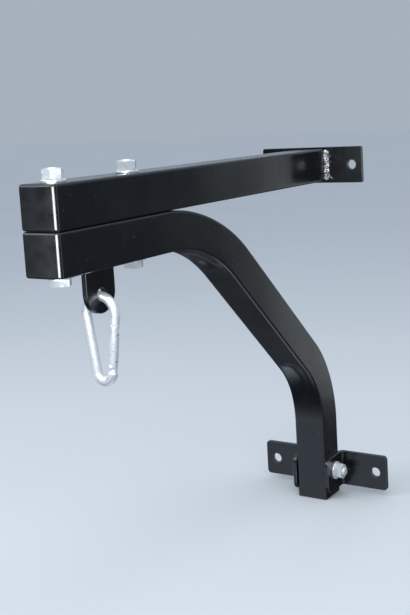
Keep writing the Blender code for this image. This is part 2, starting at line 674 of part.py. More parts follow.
def make_spring():
    """A compression spring between the plunger's head and the end of the gate's bore."""
    start = HINGE_TONGUE_TOP + 2 * GAP + PLUNGER_HEAD_LENGTH + SPRING_WIRE_RADIUS
    end = GATE_BORE_END - GAP - SPRING_WIRE_RADIUS
    count = SPRING_TURNS * SPRING_STEPS_PER_TURN
    rings = []
    for step in range(count + 1):
        angle = 2 * math.pi * step / SPRING_STEPS_PER_TURN
        out = Vector((math.cos(angle), math.sin(angle), 0))
        centre = out * SPRING_RADIUS + Z_AXIS * (start + (end - start) * step / count)
        rings.append(place_ring(circle(SPRING_WIRE_RADIUS, SPRING_WIRE_STEPS), centre, out, Z_AXIS))
    put(add_object("gate_spring", loft(rings), "spring_steel"), gate_pivot(), limb_turn())


# ---------------------------------------------------------------- assembly
def build_frame():
    underside = Vector((0, 0, STRUT_UNDERSIDE_Z - TUBE_WALL))
    top = Vector((0, 0, BEAM_TOP_Z + TUBE_WALL))
    beam = make_beam()
    strut = make_strut()
    for tube in (beam, strut):
        for y in BEAM_BOLT_Y:
            reach = Y_AXIS * y
            cut(tube, cylinder_cutter("bolt_hole", BOLT_HOLE_DIAMETER / 2, underside + reach, top + reach))
    pivot = Vector((0, STRUT_FOOT_Y, PIVOT_Z))
    through = X_AXIS * TUBE
    cut(strut, cylinder_cutter("pivot_hole", BOLT_HOLE_DIAMETER / 2, pivot - through, pivot + through))
    make_end_cap("upper_end_cap", 0.0)
    make_end_cap("lower_end_cap", STRUT_AXIS_Z)
    make_upper_plate()
    make_side_weld("plate_weld_left", -1)
    make_side_weld("plate_weld_right", 1)
    make_eye()
    make_eye_weld()


def build_fasteners():
    head_washer_z = STRUT_UNDERSIDE_Z - GAP - WASHER_THICKNESS
    upright = Matrix.Identity(4)
    for label, y in zip(("front", "rear"), BEAM_BOLT_Y):
        axis_origin = Y_AXIS * y
        make_washer(label + "_head_washer", axis_origin + Z_AXIS * head_washer_z, upright)
        make_fastener_set(label, head_washer_z - GAP, BEAM_TOP_Z, axis_origin, Z_AXIS, upright, BEAM_BOLT_PROUD)
    make_fastener_set("pivot", -EAR_OUTSIDE_X - GAP, EAR_OUTSIDE_X, Vector((0, STRUT_FOOT_Y, PIVOT_Z)), X_AXIS,
                      ALONG_X, PIVOT_BOLT_PROUD)


def build_feet():
    make_foot("left_foot", -1)
    make_foot("right_foot", 1)


def build_hook():
    make_hook_body()
    make_gate()
    make_gate_rivet()
    make_cross_pin()
    make_plunger()
    make_spring()


clear_scene()
build_frame()
build_fasteners()
build_feet()
build_hook()
weight_normals()
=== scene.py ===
"""Looks for the punch bag wall bracket: finished surfaces, real fasteners, weld beads and a studio.

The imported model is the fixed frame, in metres: +X right along the wall, +Y into the wall, +Z up.
"""

import json
import math

import bmesh
import bpy
from mathutils import Matrix, Vector, noise


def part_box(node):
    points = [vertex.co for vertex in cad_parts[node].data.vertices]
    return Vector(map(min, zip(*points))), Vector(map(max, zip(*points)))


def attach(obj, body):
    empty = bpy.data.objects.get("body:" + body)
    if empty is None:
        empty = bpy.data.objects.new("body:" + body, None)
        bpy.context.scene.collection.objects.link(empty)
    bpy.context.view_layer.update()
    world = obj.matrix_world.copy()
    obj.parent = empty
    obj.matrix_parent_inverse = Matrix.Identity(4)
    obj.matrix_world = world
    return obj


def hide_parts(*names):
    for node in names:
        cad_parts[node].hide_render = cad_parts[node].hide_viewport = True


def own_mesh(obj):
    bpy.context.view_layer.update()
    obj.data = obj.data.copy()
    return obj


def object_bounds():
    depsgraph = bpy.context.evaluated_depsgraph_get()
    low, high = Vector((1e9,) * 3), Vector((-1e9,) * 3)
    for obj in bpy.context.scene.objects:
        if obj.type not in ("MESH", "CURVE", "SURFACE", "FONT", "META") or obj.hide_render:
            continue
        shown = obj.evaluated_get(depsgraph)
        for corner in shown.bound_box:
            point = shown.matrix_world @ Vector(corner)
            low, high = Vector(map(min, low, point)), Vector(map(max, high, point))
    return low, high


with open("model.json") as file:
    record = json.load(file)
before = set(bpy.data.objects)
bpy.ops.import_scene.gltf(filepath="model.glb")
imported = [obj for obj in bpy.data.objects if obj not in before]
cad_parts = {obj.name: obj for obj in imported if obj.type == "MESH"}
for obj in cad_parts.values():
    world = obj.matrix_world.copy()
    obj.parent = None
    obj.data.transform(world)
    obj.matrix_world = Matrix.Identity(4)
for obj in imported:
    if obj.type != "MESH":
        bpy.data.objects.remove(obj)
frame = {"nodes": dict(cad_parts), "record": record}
cad_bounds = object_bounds()

X_AXIS = Vector((1, 0, 0))
Y_AXIS = Vector((0, 1, 0))
Z_AXIS = Vector((0, 0, 1))
GAP = 0.0003                    # free space between two pieces that touch on the real object
SHARP_ANGLE = 35.0              # edges sharper than this are shaded as edges

# ---------------------------------------------------------------- strut
TUBE_WALL = 0.0025
TUBE_CORNER = 0.003
TUBE_CORNER_INSIDE = 0.001
CORNER_STEPS = 5
BEND_START_Y = -0.386           # the strut leaves the beam here
FIRST_BEND_RADIUS = 0.215       # both radii are to the tube's centre line
SECOND_BEND_RADIUS = 0.145
FIRST_BEND_ANGLE = 43.0
BEND_STEPS = 42
FIRST_BEND_FLATTENING = 0.05    # a bent tube loses this share of its depth in mid bend
SECOND_BEND_FLATTENING = 0.03
FIRST_DENT = 0.0030             # how far the inner face is pressed in at each bend
SECOND_DENT = 0.0028
# Shares of the bend where its dent starts, reaches full depth, begins to rise and ends.
FIRST_DENT_SPAN = (0.32, 0.58, 0.70, 0.86)
SECOND_DENT_SPAN = (-0.16, -0.02, 0.18, 0.70)
LEAD_STEPS = 8                  # stations on the straight just before the second bend
DENT_STEPS = 14                 # facets across the pressed face
BOLT_HOLE_RADIUS = 0.0064
HOLE_REACH = 0.030              # half length of the hole cutters, more than half a tube

# ---------------------------------------------------------------- flat bar pieces
PLATE_THICKNESS = 0.005
PLATE_CORNER = 0.003
PLATE_EDGE = 0.0005             # rounding of the sheared edges
PLATE_EDGE_STEPS = 3
PLATE_CORNER_STEPS = 16
FIRST_CORNER_ANGLE = 4.0        # degrees into a rounded end where its first section is taken
UPPER_HOLE_SPACING = 0.124
UPPER_HOLE_RADIUS = 0.0065
FOOT_BEND_RADIUS = 0.003
FOOT_BEND_STEPS = 10
EAR_CORNER = 0.011
FOOT_TIP_CORNER = 0.005
FOOT_HOLE_X = 0.080
FOOT_HOLE_RADIUS = 0.007
EYE_THICKNESS = 0.006
EYE_HOLE_DROP = 0.0293          # from the strut's underside
EYE_HOLE_RADIUS = 0.007
HOLE_SIDES = 56

# ---------------------------------------------------------------- end caps
CAP_FLANGE = 0.0036
CAP_ROUND = 0.0034
CAP_ROUND_STEPS = 9
CAP_LEAST_CORNER = 0.0003       # the flange's corners stay at least this round
CAP_PLUG_WALL = 0.002

# ---------------------------------------------------------------- fasteners
HEX_ACROSS_FLATS = 0.019
HEX_FACE_RADIUS = 0.0089        # flat round face inside the corner chamfers
HEX_CHAMFER_SLOPE = math.tan(math.radians(30))  # the corners are cut back at 30 degrees
HEX_STEPS = 72
BOLT_RADIUS = 0.006
BOLT_HEAD_HEIGHT = 0.0075
BOLT_END_CHAMFER = 0.0011
THREAD_PITCH = 0.00175
THREAD_DEPTH = 0.0010
THREAD_TURNS = 9
THREAD_STEPS_PER_PITCH = 8
NUT_BORE_RADIUS = 0.0063
NUT_MOUTH_RADIUS = 0.0070
WASHER_EDGE = 0.0006            # rounding of a washer's punched upper edge
WASHER_EDGE_DEGREES = (0, 30, 60, 90)
WASHER_BORE_RADIUS = 0.0065
WASHER_SIDES = 72

# ---------------------------------------------------------------- welds
BEAD_SIZE = 0.0052              # leg of the fillet beside the beam
BEAD_STEPS = 110
BEAD_SIDES = 14
BEAD_BASE = 0.92                # share of a bead's size that ripples and lumps are added to
BEAD_RIPPLE = 0.10
BEAD_RIPPLE_LENGTH = 0.0032
BEAD_LUMPS = ((0.30, 420.0), (0.16, 1100.0))  # random lumps, as (share of the size, lumps per metre)
BEAD_END_SHARE = 0.55           # share of its size that a side bead starts and ends with
BEAD_END_GROWTH = 7.0           # share gained per whole length of the bead, up to full size
# Spatter beads as (distance out from the beam, height above the bead's foot, radius).
SPATTER = ((0.0080, 0.0035, 0.0009), (0.0096, 0.0015, 0.0006), (0.0070, 0.0090, 0.0005),
           (0.0085, 0.0260, 0.0005), (0.0074, 0.0330, 0.0006))
SPATTER_SUBDIVISIONS = 2
EYE_BEAD_SIZE = 0.0030
EYE_BEAD_STEPS = 160
EYE_BEAD_SIDES = 8

# ---------------------------------------------------------------- snap hook
HOOK_RADIUS = 0.005             # of its rod
ROD_SIDES = 32
HOOK_ARC_STEPS = 36
ROUND_POWER = 2                 # superellipse powers of the rod and of the flat tongues
TONGUE_POWER = 6
TONGUE_SIDE_SHARE = 0.88        # width of a tongue, as a share of the rod's
TONGUE_HALF = 0.0019            # half its thickness
HINGE_TONGUE_TOP = 0.0040       # all distances along the gate are from its pivot
HINGE_SHOULDER = 0.0062         # below the pivot, where the tongue widens into the rod
NOSE_TONGUE_LENGTH = 0.0092
NOSE_GAP = 0.0006               # between the gate's end and the nose's shoulder
SHOULDER_ROUND = 0.0008
GATE_LENGTH = 0.043
GATE_CHAMFER = 0.0007
GATE_BALL_DEGREES = range(85, -1, -5)  # sections of the gate's ball end, from its tip
GATE_SLOT_HALF = 0.0022         # half width of the slots that take the tongues
HINGE_SLOT_LENGTH = 0.0062
NOSE_SLOT_LENGTH = 0.0105
GATE_BORE_RADIUS = 0.0025
GATE_BORE_END = 0.020
RIVET_HOLE_RADIUS = 0.0018
CROSS_PIN_AT = 0.0368
CROSS_PIN_HOLE_RADIUS = 0.0014
CROSS_PIN_NOTCH_RADIUS = 0.0017
PIN_SIDES = 24
SPRING_RADIUS = 0.0018
SPRING_WIRE_RADIUS = 0.0003
SPRING_TURNS = 7
SPRING_STEPS_PER_TURN = 18
SPRING_WIRE_SIDES = 8

# ---------------------------------------------------------------- camera and studio sizes
CAMERA_AT = Vector((0.6522, -1.2640, 0.0779))
CAMERA_AZIMUTH = 31.156
CAMERA_ELEVATION = 7.361
CAMERA_ROLL = -3.10
CAMERA_LENS = 58.753            # millimetres, on a 36 mm sensor along the picture's long side
CAMERA_SHIFT = (-0.0719, -0.1055)
FLOOR_DROP = 0.0005             # floor below the lowest point
FLOOR_SIZE = 40.0

# Light from around the object, as (height of the direction, brightness), on the wall's side and away.
WALL_SIDE_GLOW = ((-1.0, 1.60), (-0.92, 1.10), (-0.86, 0.06), (-0.78, 0.09), (-0.70, 0.28), (-0.64, 0.20),
                  (-0.55, 0.04), (0.0, 0.08), (0.03, 0.12), (0.045, 0.95), (0.065, 0.95), (0.085, 0.25),
                  (0.35, 0.40), (1.0, 1.0))
ROOM_SIDE_GLOW = ((-1.0, 0.30), (-0.92, 0.15), (-0.86, 0.04), (-0.66, 0.05), (-0.50, 0.40), (-0.36, 1.0),
                  (-0.20, 0.55), (-0.12, 0.20), (-0.08, 0.10), (-0.05, 0.02), (0.05, 0.02), (0.30, 0.60),
                  (1.0, 1.0))
GLOW_COLOUR = (0.80, 0.93, 1.10)
LIGHT_COLOUR = (0.90, 0.96, 1.0)
GLOW_TURN = 0.25                # the two blend where the direction's Y is within this of zero
BACKDROP = (0.385, 0.440, 0.508)
# Soft lights as (name, place, aim, (width, height), watts, whether it lights matt surfaces too).
LIGHTS = (
    ("overhead_softbox", (0.2, -0.6, 1.6), (0, -0.3, 0), (1.6, 1.2), 16, True),
    ("front_softbox", (1.1, -1.7, 0.9), (0, -0.3, -0.2), (1.0, 1.0), 13, True),
    ("left_softbox", (-1.3, -1.5, 1.2), (0, -0.3, -0.1), (1.0, 1.0), 13, True),
    ("cap_edge_glow", (0.066, -0.666, -0.03), (0.02, -0.565, -0.03), (0.13, 0.16), 2.2, False),
    ("wall_side_glow", (0.70, 1.70, -0.35), (0.0, -0.1, -0.35), (0.70, 1.05), 1.8, False),
)

# ---------------------------------------------------------------- finishes
EDGE_SAMPLES = 4
EDGE_COSINES = (0.995, 0.80)    # of the smoothed to the plain normal, on a flat face and on an edge
NOISE_RANGE = (0.3, 0.7)        # most of a noise texture's values
MIX_COLOURS = (6, 7)            # a Mix node's sockets when it mixes colours
MIX_RESULT = 2

# What the record says of each node and joint.
BODY_OF = {node: body for body, nodes in frame["record"]["behaviour"]["bodies"].items() for node in nodes}
SLOT_OF = {entry["node"]: entry["material_slot"] for entry in frame["record"]["subparts"]}
JOINTS = {joint["name"]: joint for joint in frame["record"]["behaviour"]["joints"]}


# ---------------------------------------------------------------- node helpers
class NodeTree:
    """A node tree being wired up."""

    def __init__(self, tree):
        self.tree = tree

    def add(self, kind, **settings):
        """Make a node; each setting is a property of it or an input, with _ for spaces in its name."""
        node = self.tree.nodes.new(kind)
        for key, value in settings.items():
            if hasattr(node, key):
                setattr(node, key, value)
            else:
                node.inputs[key.replace("_", " ")].default_value = value
        return node

    def link(self, output, target, name=None):
        """Join an output to the target, or to the target node's input of this name."""
        self.tree.links.new(output, target if name is None else target.inputs[name])

    def math(self, operation, a, b):
        """Combine two values, each a number or an output."""
        node = self.add("ShaderNodeMath", operation=operation)
        for socket, value in zip(node.inputs, (a, b)):
            if isinstance(value, (int, float)):
                socket.default_value = value
            else:
                self.link(value, socket)
        return node.outputs["Value"]


class Shader(NodeTree):
    """A new material's node tree, with the Principled BSDF as its surface."""

    def __init__(self, name):
        self.material = bpy.data.materials.new(name)
        self.material.use_nodes = True
        super().__init__(self.material.node_tree)
        self.surface = self.tree.nodes["Principled BSDF"]
        self.coordinates = self.add("ShaderNodeTexCoord").outputs["Object"]

    def set(self, **values):
        """Set inputs of the surface, with _ for spaces in their names."""
        for key, value in values.items():
            self.surface.inputs[key.replace("_", " ")].default_value = value

    def noise(self, scale, detail, roughness=0.5):
        """A noise texture's values over the object, about 0.5 on average."""
        node = self.add("ShaderNodeTexNoise", Scale=scale, Detail=detail, Roughness=roughness)
        self.link(self.coordinates, node, "Vector")
        return node.outputs["Fac"]

    def ramp(self, factor, low, high, low_value=0.0, high_value=1.0):
        """Map factor from low..high to low_value..high_value, clamped."""
        node = self.add("ShaderNodeMapRange", From_Min=low, From_Max=high,
                        To_Min=low_value, To_Max=high_value)
        self.link(factor, node, "Value")
        return node.outputs["Result"]

    def mix(self, factor, low, high):
        """Blend two colours, each a tuple or an output."""
        node = self.add("ShaderNodeMix", data_type="RGBA")
        self.link(factor, node, "Factor")
        for socket, value in zip(MIX_COLOURS, (low, high)):
            if isinstance(value, tuple):
                node.inputs[socket].default_value = (*value, 1.0)
            else:
                self.link(value, node.inputs[socket])
        return node.outputs[MIX_RESULT]

    def edges(self, radius):
        """About 1 on edges tighter than radius and 0 on flat faces."""
        bevel = self.add("ShaderNodeBevel", samples=EDGE_SAMPLES, Radius=radius)
        plain = self.add("ShaderNodeNewGeometry")
        dot = self.add("ShaderNodeVectorMath", operation="DOT_PRODUCT")
        for socket, node in zip(dot.inputs, (bevel, plain)):
            self.link(node.outputs["Normal"], socket)
        return self.ramp(dot.outputs["Value"], *EDGE_COSINES)

    def colour(self, output):
        """Drive the surface's colour."""
        self.link(output, self.surface, "Base Color")

    def vary_roughness(self, factor, low_value, high_value):
        """Let a noise move the roughness between two values."""
        roughness = self.ramp(factor, *NOISE_RANGE, low_value, high_value)
        self.link(roughness, self.surface, "Roughness")

    def bump(self, height, distance, strength):
        """Drive the surface's relief; distance is its depth in metres."""
        node = self.add("ShaderNodeBump", Strength=strength, Distance=distance)
        self.link(height, node, "Height")
        self.link(node.outputs["Normal"], self.surface, "Normal")


def powder_coat():
    """Black powder coat: orange-peel skin, faint clouding, a few tiny chips, and thin edges painted paler,
    partly as wear and partly as a painted highlight.
    """
    shader = Shader("powder_coat")
    cloud = shader.noise(scale=14.0, detail=3.0)
    peel = shader.noise(scale=900.0, detail=2.0, roughness=0.55)
    spots = shader.noise(scale=420.0, detail=1.0)
    chips = shader.ramp(spots, low=0.775, high=0.785, high_value=0.45)
    # Edges are painted paler: part edge wear, part a painted highlight along them.
    edge_wear_and_highlight = shader.math("MULTIPLY", shader.edges(radius=0.0012), 0.9)
    black = shader.mix(cloud, low=(0.0022, 0.0026, 0.0036), high=(0.0050, 0.0056, 0.0072))
    shader.colour(shader.mix(shader.math("MAXIMUM", edge_wear_and_highlight, chips), low=black, high=(0.20, 0.21, 0.23)))
    shader.vary_roughness(cloud, 0.20, 0.30)
    shader.set(Specular_IOR_Level=0.5, Coat_Weight=0.25, Coat_Roughness=0.10)
    shader.bump(peel, distance=0.00006, strength=0.5)
    return shader.material


def zinc_plate():
    """Bright zinc: nearly white metal with soft blotches and fine tumbling marks."""
    shader = Shader("zinc_plate")
    blotch = shader.noise(scale=260.0, detail=4.0, roughness=0.6)
    grain = shader.noise(scale=2600.0, detail=2.0)
    polished = shader.math("MULTIPLY", shader.edges(radius=0.0006), 0.5)
    metal = shader.mix(blotch, low=(0.82, 0.83, 0.84), high=(0.97, 0.975, 0.98))
    shader.colour(shader.mix(polished, low=metal, high=(0.97, 0.97, 0.97)))
    shader.vary_roughness(blotch, 0.26, 0.42)
    shader.set(Metallic=0.55)
    shader.bump(grain, distance=0.00002, strength=0.4)
    return shader.material


def weld_metal():
    """Bare weld metal: silvery, with near-black patches in its colour."""
    shader = Shader("weld_metal")
    patch = shader.noise(scale=520.0, detail=3.0, roughness=0.6)
    # The colour splits about evenly into near-black and silvery patches.
    bright_share = shader.ramp(patch, low=0.46, high=0.53)
    shader.colour(shader.mix(bright_share, low=(0.015, 0.015, 0.017), high=(0.95, 0.95, 0.94)))
    shader.vary_roughness(patch, 0.5, 0.25)
    shader.set(Metallic=0.5)
    shader.bump(shader.noise(scale=1500.0, detail=3.0), distance=0.00015, strength=0.6)
    return shader.material


def black_plastic():
    """Moulded polyethylene cap: satin black with a fine spark-eroded grain."""
    shader = Shader("black_plastic")
    cloud = shader.noise(scale=60.0, detail=3.0)
    shader.colour(shader.mix(cloud, low=(0.0040, 0.0044, 0.0055), high=(0.0075, 0.0080, 0.0095)))
    shader.vary_roughness(cloud, 0.26, 0.36)
    shader.bump(shader.noise(scale=3500.0, detail=2.0), distance=0.00003, strength=0.5)
    return shader.material


def spring_steel():
    """Drawn spring wire: dull grey with fine draw marks."""
    shader = Shader("spring_steel")
    marks = shader.noise(scale=1800.0, detail=2.0)
    shader.colour(shader.mix(marks, low=(0.34, 0.35, 0.36), high=(0.50, 0.51, 0.52)))
    shader.set(Metallic=1.0, Roughness=0.32)
    shader.bump(marks, distance=0.00001, strength=0.4)
    return shader.material


MATERIALS = {
    "black_powder_coat": powder_coat(),
    "zinc_plate": zinc_plate(),
    "bare_weld": weld_metal(),
    "black_plastic": black_plastic(),
    "spring_steel": spring_steel(),
}


def dress_cad_nodes():
    """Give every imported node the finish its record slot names."""
    for node, slot in SLOT_OF.items():
        mesh = frame["nodes"][node].data
        mesh.materials.clear()
        mesh.materials.append(MATERIALS[slot])


# ---------------------------------------------------------------- mesh helpers
def loft(rings, closed=False):
    """Skin a list of rings; closed joins the last ring to the first, otherwise both ends are capped."""
    bm = bmesh.new()
    rows = [[bm.verts.new(point) for point in ring] for ring in rings]
    pairs = list(zip(rows, rows[1:]))
    if closed:
        pairs.append((rows[-1], rows[0]))
    for lower, upper in pairs:
        count = len(lower)
        for i in range(count):
            j = (i + 1) % count
            bm.faces.new((lower[i], lower[j], upper[j], upper[i]))
    if not closed:
        bm.faces.new(rows[0])
        bm.faces.new(rows[-1])
    return bm


def place_ring(outline, origin, u, v):
    """Put a flat outline of (a, b) pairs at origin, a along u and b along v."""
    return [origin + u * a + v * b for a, b in outline]


def circle(radius, sides):
    """A circle's outline as (a, b) pairs."""
    turns = (2 * math.pi * i / sides for i in range(sides))
    return [(radius * math.cos(angle), radius * math.sin(angle)) for angle in turns]


def oval(half_side, half_thickness, power):
    """A superellipse: power 2 is an ellipse, a higher power is close to a rectangle."""
    points = []
    for i in range(ROD_SIDES):
        angle = 2 * math.pi * (i + 0.5) / ROD_SIDES
        cosine, sine = math.cos(angle), math.sin(angle)
        a = math.copysign(half_side * abs(cosine) ** (2 / power), cosine)
        b = math.copysign(half_thickness * abs(sine) ** (2 / power), sine)
        points.append((a, b))
    return points


def rounded_rectangle(width, height, radius, steps):
    """A rectangle's outline with round corners, corner by corner from the upper right one."""
    points = []
    for sign_a, sign_b, start in ((1, 1, 0), (-1, 1, 90), (-1, -1, 180), (1, -1, 270)):
        centre_a = sign_a * (width / 2 - radius)
        centre_b = sign_b * (height / 2 - radius)
        for step in range(steps + 1):
            angle = math.radians(start + 90.0 * step / steps)
            points.append((centre_a + radius * math.cos(angle), centre_b + radius * math.sin(angle)))
    return points


def new_object(name, bm):
    """Turn a bmesh into an object, smooth apart from its sharp edges."""
    bmesh.ops.recalc_face_normals(bm, faces=bm.faces)
    mesh = bpy.data.meshes.new(name)
    bm.to_mesh(mesh)
    bm.free()
    mesh.shade_smooth()
    mesh.set_sharp_from_angle(angle=math.radians(SHARP_ANGLE))
    piece = bpy.data.objects.new(name, mesh)
    bpy.context.collection.objects.link(piece)
    return piece


def cylinder_cutter(start, end, radius, sides=PIN_SIDES):
    """A solid used only to cut a round hole from start to end."""
    axis = (end - start).normalized()
    u = axis.orthogonal().normalized()
    outline = circle(radius, sides)
    rings = [place_ring(outline, point, u, axis.cross(u)) for point in (start, end)]
    return new_object("cutter", loft(rings))


def box_cutter(centre, half_sizes, axes):
    """A block used only to cut; axes are its three unit directions."""
    u, v, w = axes
    half_u, half_v, half_w = half_sizes
    outline = ((half_u, half_v), (-half_u, half_v), (-half_u, -half_v), (half_u, -half_v))
    rings = [place_ring(outline, centre + w * end, u, v) for end in (-half_w, half_w)]
    return new_object("cutter", loft(rings))


def cut(piece, *cutters):
    """Take the cutters out of a piece, then remove them and mark the piece's new sharp edges."""
    for cutter in cutters:
        boolean = piece.modifiers.new("cut", "BOOLEAN")
        boolean.operation = "DIFFERENCE"
        boolean.solver = "EXACT"
        boolean.object = cutter
    depsgraph = bpy.context.evaluated_depsgraph_get()
    result = bpy.data.meshes.new_from_object(piece.evaluated_get(depsgraph))
    piece.modifiers.clear()
    piece.data = result
    result.set_sharp_from_angle(angle=math.radians(SHARP_ANGLE))
    for cutter in cutters:
        bpy.data.objects.remove(cutter, do_unlink=True)


def stand_in(piece, node):
    """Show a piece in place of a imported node, on the same body and with the same finish."""
    piece.name = node + "_finished"
    piece.data.name = piece.name
    piece.data.materials.clear()
    piece.data.materials.append(MATERIALS[SLOT_OF[node]])
    piece.modifiers.new("flat_faces", "WEIGHTED_NORMAL").keep_sharp = True
    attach(piece, BODY_OF[node])
    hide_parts(node)


def centre_of(node):
    """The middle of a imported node's box."""
    low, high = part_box(node)
    return (low + high) / 2


# ---------------------------------------------------------------- strut
def dent_share(part, span):
    """How much of a dent's depth is reached at this share of its bend."""
    start, full, still_full, end = span
    share = min((part - start) / (full - start), (end - part) / (end - still_full))
    share = min(1.0, max(0.0, share))
    return share * share * (3 - 2 * share)


def bend_point(start, radius, first_angle, last_angle, part):
    """Point and angle at this share of a bend that starts at (y, z); before 0 it is on the straight."""
    y, z = start
    if part < 0:
        length = radius * (last_angle - first_angle) * part
        return y + length * math.cos(first_angle), z - length * math.sin(first_angle), first_angle
    angle = first_angle + (last_angle - first_angle) * part
    y += radius * (math.sin(angle) - math.sin(first_angle))
    z -= radius * (math.cos(first_angle) - math.cos(angle))
    return y, z, angle


def bend_stations(start, radius, angles, flattening, dent, span, lead=0):
    """Stations round one bend and on lead steps of the straight before it, as strut_stations lists them."""
    stations = []
    for step in range(-lead, BEND_STEPS + 1):
        part = step / BEND_STEPS
        arch = math.sin(math.pi * max(0.0, part)) ** 2
        place = bend_point(start, radius, *angles, part)
        stations.append((*place, flattening * arch, dent * dent_share(part, span)))
    return stations


def strut_stations():
    """Centre-line points of the strut as (y, z, angle below horizontal, flattening, dent)."""
    low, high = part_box("lower_strut")
    half = (high.x - low.x) / 2
    axis_z = high.z - half
    foot_y = high.y - half
    lean = math.radians(FIRST_BEND_ANGLE)
    upright = math.pi / 2
    first_start = (BEND_START_Y, axis_z)
    first_y, first_z, _ = bend_point(first_start, FIRST_BEND_RADIUS, 0.0, lean, 1.0)
    second_y = foot_y - SECOND_BEND_RADIUS * (1 - math.sin(lean))
    second_start = (second_y, first_z - (second_y - first_y) * math.tan(lean))
    stations = [(low.y, axis_z, 0.0, 0.0, 0.0)]
    stations += bend_stations(first_start, FIRST_BEND_RADIUS, (0.0, lean), FIRST_BEND_FLATTENING,
                              FIRST_DENT, FIRST_DENT_SPAN)
    stations += bend_stations(second_start, SECOND_BEND_RADIUS, (lean, upright), SECOND_BEND_FLATTENING,
                              SECOND_DENT, SECOND_DENT_SPAN, LEAD_STEPS)
    stations.append((foot_y, low.z, upright, 0.0, 0.0))
    return stations


def tube_outline(width, height, radius, dent=0.0):
    """A square tube's outline as (across, up), its lower face pressed in by dent at the middle."""
    points = rounded_rectangle(width, height, radius, CORNER_STEPS)
    reach = width / 2 - radius
    pressed = []
    for step in range(1, DENT_STEPS):
        across = reach * (2 * step / DENT_STEPS - 1)
        hollow = dent * math.cos(math.pi / 2 * across / reach) ** 2
        pressed.append((across, -height / 2 + hollow))
    lower_face = 3 * (CORNER_STEPS + 1)  # three corners come before the lower face
    return points[:lower_face] + pressed + points[lower_face:]


def through_hole(at, axis, radius):
    """A cutter for a hole right through one tube or plate, centred at a point."""
    return cylinder_cutter(at - axis * HOLE_REACH, at + axis * HOLE_REACH, radius, HOLE_SIDES)


def beam_bolt_holes(axis_z):
    """Cutters for the two clamp bolts through the tube whose axis is at this height."""
    holes = []
    for node in ("front_bolt", "rear_bolt"):
        bolt = centre_of(node)
        holes.append(through_hole(Vector((bolt.x, bolt.y, axis_z)), Z_AXIS, BOLT_HOLE_RADIUS))
    return holes


def make_strut():
    """The bent tube: its outer wall and then its inner wall, skinned as one closed loop of rings."""
    low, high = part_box("lower_strut")
    width = high.x - low.x
    walls = []
    for inset, radius in ((0.0, TUBE_CORNER), (TUBE_WALL, TUBE_CORNER_INSIDE)):
        rings = []
        for y, z, angle, flattening, dent in strut_stations():
            up = Vector((0, math.sin(angle), math.cos(angle)))
            outline = tube_outline(width - 2 * inset, width * (1 - flattening) - 2 * inset, radius, dent)
            rings.append(place_ring(outline, Vector((0, y, z)), X_AXIS, up))
        walls.append(rings)
    strut = new_object("lower_strut", loft(walls[0] + walls[1][::-1], closed=True))
    pivot_hole = through_hole(centre_of("pivot_bolt"), X_AXIS, BOLT_HOLE_RADIUS)
    cut(strut, *beam_bolt_holes(high.z - width / 2), pivot_hole)
    stand_in(strut, "lower_strut")


def make_beam():
    """The straight tube, skinned in the same way as the strut."""
    low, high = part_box("upper_beam")
    width = high.x - low.x
    axis_z = (low.z + high.z) / 2
    rings = []
    outside = (0.0, TUBE_CORNER, (low.y, high.y))
    inside = (TUBE_WALL, TUBE_CORNER_INSIDE, (high.y, low.y))
    for inset, radius, ends in (outside, inside):
        outline = rounded_rectangle(width - 2 * inset, width - 2 * inset, radius, CORNER_STEPS)
        for y in ends:
            rings.append(place_ring(outline, Vector((0, y, axis_z)), X_AXIS, Z_AXIS))
    beam = new_object("upper_beam", loft(rings, closed=True))
    cut(beam, *beam_bolt_holes(axis_z))
    stand_in(beam, "upper_beam")


# ---------------------------------------------------------------- flat bar pieces
def corner_places(corner):
    """Sections through a rounded end, as (distance from the end, cut off the bar's half height)."""
    if corner == 0:
        return [(0.0, 0.0)]
    places = []
    for step in range(PLATE_CORNER_STEPS + 1):
        angle = math.radians(FIRST_CORNER_ANGLE + (90.0 - FIRST_CORNER_ANGLE) * step / PLATE_CORNER_STEPS)
        places.append((corner * (1 - math.cos(angle)), corner * (1 - math.sin(angle))))
    return places


def flat_bar(node, length, height, thickness, corners, tall, at, between=()):
    """A sheared flat bar with a corner radius for each end, its height along tall.

    at(distance) gives the bar's centre and the way across its thickness there, and between lists the
    distances of any extra sections.
    """
    places = corner_places(corners[0])
    places += [(distance, 0.0) for distance in between]
    places += [(length - distance, cut_off) for distance, cut_off in reversed(corner_places(corners[1]))]
    rings = []
    for distance, cut_off in places:
        centre, across = at(distance)
        outline = rounded_rectangle(thickness, height - 2 * cut_off, PLATE_EDGE, PLATE_EDGE_STEPS)
        rings.append(place_ring(outline, centre, across, tall))
    return new_object(node, loft(rings))


def make_upper_plate():
    """The flat wall plate with its two anchor holes."""
    node = "upper_wall_plate"
    low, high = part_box(node)
    middle = (low + high) / 2

    def at(distance):
        return Vector((low.x + distance, middle.y, middle.z)), Y_AXIS

    size = high - low
    plate = flat_bar(node, size.x, size.z, PLATE_THICKNESS, (PLATE_CORNER, PLATE_CORNER), Z_AXIS, at)
    for side in (-1, 1):
        cut(plate, through_hole(middle + X_AXIS * side * UPPER_HOLE_SPACING / 2, Y_AXIS, UPPER_HOLE_RADIUS))
    stand_in(plate, node)


